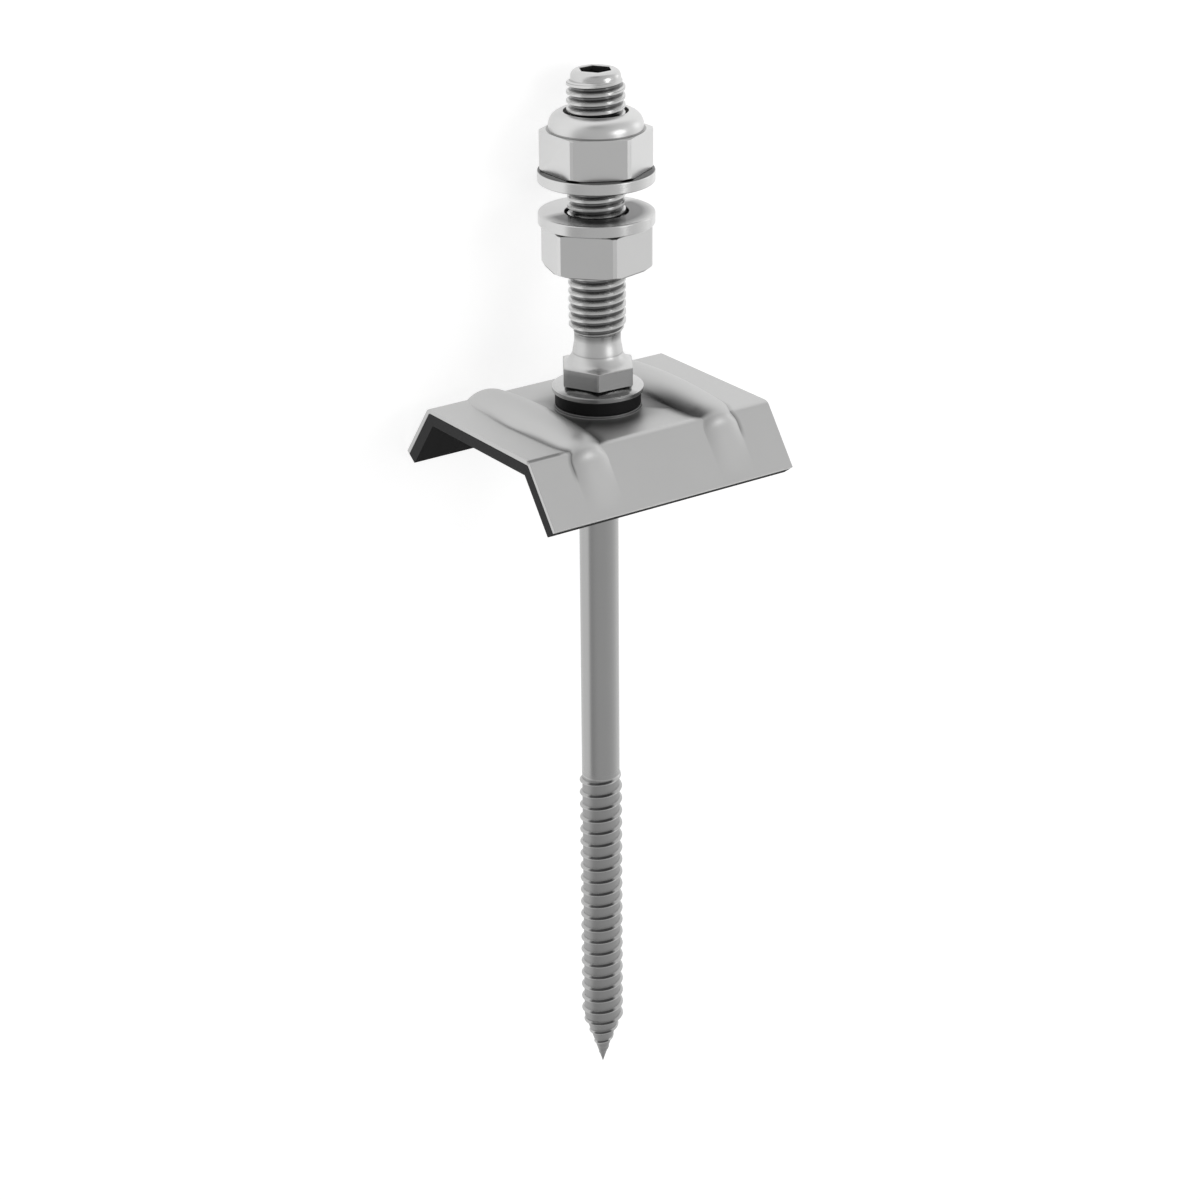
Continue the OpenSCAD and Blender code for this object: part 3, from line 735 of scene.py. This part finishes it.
def saddleRows():
    half, r = saddle["crownWidth"] / 2, saddle["foldRadius"]
    foldAt = half - r * math.tan(foldAngle / 2)
    rows = [(y, 0.0, 0.0) for y in spread(0, foldAt, saddle["crownRows"])]
    for angle in spread(0, foldAngle, saddle["foldRows"])[1:]:
        rows.append((foldAt + r * math.sin(angle), r * math.cos(angle) - r, angle))
    y0, z0, angle = rows[-1]
    y1, z1 = half + saddle["flankOut"], -saddle["flankDrop"]
    for share in spread(0, 1, saddle["flankRows"])[1:]:
        rows.append((y0 + (y1 - y0) * share, z0 + (z1 - z0) * share, angle))
    rows = [{"y": y, "z": z, "angle": a, "outY": math.sin(a), "outZ": math.cos(a)} for y, z, a in rows]
    for row in rows:
        depth = belowCrest(row["y"], row["z"])
        row["down"] = max(math.hypot(row["y"] - half, row["z"]), 0) if row["angle"] == foldAngle else 0.0
        row["onFlank"] = smoothStep(*saddle["flankBlend"], row["down"])
        row["reach"] = beadReach(depth) * (1 - row["onFlank"]) + saddle["flankReach"] * row["onFlank"]
    front = [dict(row, y=-row["y"]) for row in reversed(rows[1:])]
    return front + rows


def saddleColumns(reach):
    half, at, pad = saddle["length"] / 2, saddle["beadAt"], saddle["creasePad"]
    bead = [reach * math.sin(math.radians(90 * share)) for share in spread(-1, 1, saddle["beadColumns"])]
    left = spread(-half, -at - reach - pad, saddle["outerColumns"]) + [-at + x for x in bead]
    middle = spread(-at + reach + pad, at - reach - pad, saddle["middleColumns"])
    return left + middle + [-x for x in reversed(left)]


def smoothStep(low, high, value):
    share = min(max((value - low) / (high - low), 0), 1)
    return share * share * (3 - 2 * share)


# Painted shade: how much darker the sheet is painted in its creases, behind the ring, in the fold and beside
# the beads, where shade and dark reflections fall. Two numbers are where a shade starts and ends, and left
# and right are the two beads.
paintedShadeReach = {
    "crown": (16.2, 15.4),
    "left": {"along": (0, -13), "thin": 1.0}, "right": {"along": (9, -9), "thin": 0.4},
    "insideWidth": 2.0, "outsideWidth": 1.1,
    "thinOnCrown": 0.32, "thinOnFlank": 0.2, "thinAlong": (14, -4), "thinDown": (5.8, 3.2),
    "ringWidth": 3.4, "ringBehind": 0.5, "ringRise": (1.2, 0.0),
    "foldAlong": (-18.0, -19.0), "foldAngles": (0.1, 0.6),
}


def hump(distance, width):
    return math.exp(-(distance / width) ** 2)


# Painted shade at one point of the sheet: wide about each bead's crease on the bolt side, a thin line along
# its outer crease, a ring round the seat and a band in the front fold.
def saddlePaintedShade(x, row, rise):
    reach, y = paintedShadeReach, row["y"]
    crown = smoothStep(*reach["crown"], abs(y))
    bead = reach["right" if x > 0 else "left"]
    inside = abs(x) - (saddle["beadAt"] - row["reach"])
    outside = abs(x) - (saddle["beadAt"] + row["reach"])
    width = reach["insideWidth"] if inside > 0 else reach["outsideWidth"]
    wide = saddle["paintedBeadSideShade"][1 if x > 0 else 0] * hump(inside, width)
    wide *= smoothStep(*bead["along"], y) * crown
    thinWidth = reach["thinOnCrown"] if crown > 0.5 else reach["thinOnFlank"]
    thin = saddle["paintedCreaseShade"] * hump(outside, thinWidth) * (bead["thin"] if crown > 0.5 else 1)
    thin *= smoothStep(*reach["thinAlong"], y) * smoothStep(*reach["thinDown"], row["down"])
    away = max(math.hypot(x, y) - saddle["seatAcross"] / 2, 0)
    ring = saddle["paintedRingShade"] * hump(away, reach["ringWidth"]) * (1 if y < 0 else reach["ringBehind"])
    ring *= smoothStep(*reach["ringRise"], rise) * crown
    low, high = reach["foldAngles"]
    inFold = y < 0 and low < row["angle"] < high
    fold = saddle["paintedFoldShade"] * smoothStep(*reach["foldAlong"], x) if inFold else 0
    return 1 - (1 - wide) * (1 - thin) * (1 - ring) * (1 - fold)


def saddleGrid(work, paintedShade, rows, under):
    grid = []
    for row in rows:
        side = 1 if row["y"] >= 0 else -1
        line = []
        for x in saddleColumns(row["reach"]):
            rise = riseAt(row, abs(abs(x) - saddle["beadAt"]))
            off = rise - under
            vert = work.verts.new((x, row["y"] + side * off * row["outY"], row["z"] + off * row["outZ"]))
            # the painted shade goes on the top sheet only
            vert[paintedShade] = saddlePaintedShade(x, row, rise) if under == 0 else 0.0
            line.append(vert)
        grid.append(line)
    return grid


def outerLoop(grid):
    return grid[0] + [line[-1] for line in grid[1:-1]] + grid[-1][::-1] + [line[0] for line in grid[-2:0:-1]]


# A square patch of the grid is left out, and rings close it into the round seat and its hole
def addSeat(work, paintedShade, grid, patch, under):
    low, high, first, last = patch
    loop = [grid[low][j] for j in range(first, last)] + [grid[i][last] for i in range(low, high)]
    loop += [grid[high][j] for j in range(last, first, -1)] + [grid[i][first] for i in range(high, low, -1)]
    seat, top = saddle["seatAcross"] / 2 - under, saddle["seatHeight"] - under
    for radius, z in ((seat, -under), (seat, top), (saddle["hole"] / 2, top)):
        ring = []
        for vert in loop:
            angle = math.atan2(vert.co.y, vert.co.x)
            point = work.verts.new((radius * math.cos(angle), radius * math.sin(angle), z))
            # the seat carries the ring's painted shade
            point[paintedShade] = saddle["paintedRingShade"] if under == 0 else 0.0
            ring.append(point)
        bridge(work, loop, ring)
        loop = ring
    return loop


def softenEdges(piece, width, angle):
    bevel = piece.modifiers.new("softEdges", "BEVEL")
    bevel.width, bevel.segments, bevel.limit_method = width * mm, 2, "ANGLE"
    bevel.angle_limit, bevel.use_clamp_overlap, bevel.harden_normals = math.radians(angle), True, True


def makeSaddle():
    work = bmesh.new()
    paintedShade = work.verts.layers.float.new("paintedShade")
    rows = saddleRows()
    layers = (0.0, saddle["sheet"])
    grids = [saddleGrid(work, paintedShade, rows, under) for under in layers]
    first = saddle["outerColumns"] + saddle["beadColumns"] + 1
    last = len(grids[0][0]) - 1 - first
    near = [i for i, row in enumerate(rows) if abs(row["y"]) < saddle["patchReach"]]
    low, high = near[0], near[-1]
    for grid in grids:
        for i in range(len(grid) - 1):
            for j in range(len(grid[0]) - 1):
                if not (low <= i < high and first <= j < last):
                    work.faces.new((grid[i][j], grid[i][j + 1], grid[i + 1][j + 1], grid[i + 1][j]))
    bridge(work, *(outerLoop(grid) for grid in grids))
    bridge(work, *(addSeat(work, paintedShade, grid, (low, high, first, last), under)
                   for grid, under in zip(grids, layers)))
    closeMesh(work, saddle["merge"])
    piece = makePiece(work, "saddleFolded", "saddleSheet", saddle["edgeAngle"])
    softenEdges(piece, saddle["edgeSoft"], saddle["edgeAngle"])
    standFor(piece, "saddle", "saddle")
    print("saddle made:", len(piece.data.polygons), "faces")


makeSaddle()


# Nuts, washers and rubber start from the CAD solids, welded, with soft edges added
softPieces = {
    "sealing_washer": {"name": "sealingDisc", "finish": "discSteel", "edge": 0.08, "body": "bolt",
                       "slot": "disc_steel"},
    "sealing_ring": {"name": "sealingRubber", "finish": "ringRubber", "edge": 0.15, "body": "bolt",
                     "slot": "ring_rubber"},
    "saddle_lining": {"name": "liningStrip", "finish": "liningRubber", "edge": 0.12, "body": "saddle",
                      "slot": "lining_rubber"},
    "lower_nut": {"name": "plainNut", "finish": "nutSteel", "edge": 0.34, "body": "lower_nut",
                  "slot": "nut_steel"},
    "lower_washer": {"name": "washerBelow", "finish": "washerSteel", "edge": 0.08, "body": "lower_washer",
                     "slot": "washer_steel"},
    "upper_washer": {"name": "washerAbove", "finish": "washerSteel", "edge": 0.08, "body": "upper_washer",
                     "slot": "washer_steel"},
    "lock_nut": {"name": "lockNutCrowned", "finish": "nutSteel", "edge": 0.34, "body": "lock_nut",
                 "slot": "nut_steel"},
    "lock_ring": {"name": "lockInsert", "finish": "ringPlastic", "edge": 0.08, "body": "lock_nut",
                  "slot": "ring_plastic"},
}
softening = {"weld": 0.002, "flatAngle": 0.6, "sharpAngle": 28}


def makeSoftEdged(node, facts):
    work = bmesh.new()
    work.from_mesh(frame["nodes"][node].data)
    bmesh.ops.remove_doubles(work, verts=work.verts, dist=softening["weld"] * mm)
    bmesh.ops.dissolve_limit(
        work, angle_limit=math.radians(softening["flatAngle"]), verts=work.verts, edges=work.edges)
    piece = makePiece(work, facts["name"], facts["finish"], softening["sharpAngle"])
    softenEdges(piece, facts["edge"], softening["sharpAngle"])
    standFor(piece, node, facts["body"])


for node, facts in softPieces.items():
    makeSoftEdged(node, facts)
print("nuts, washers and rubber made")
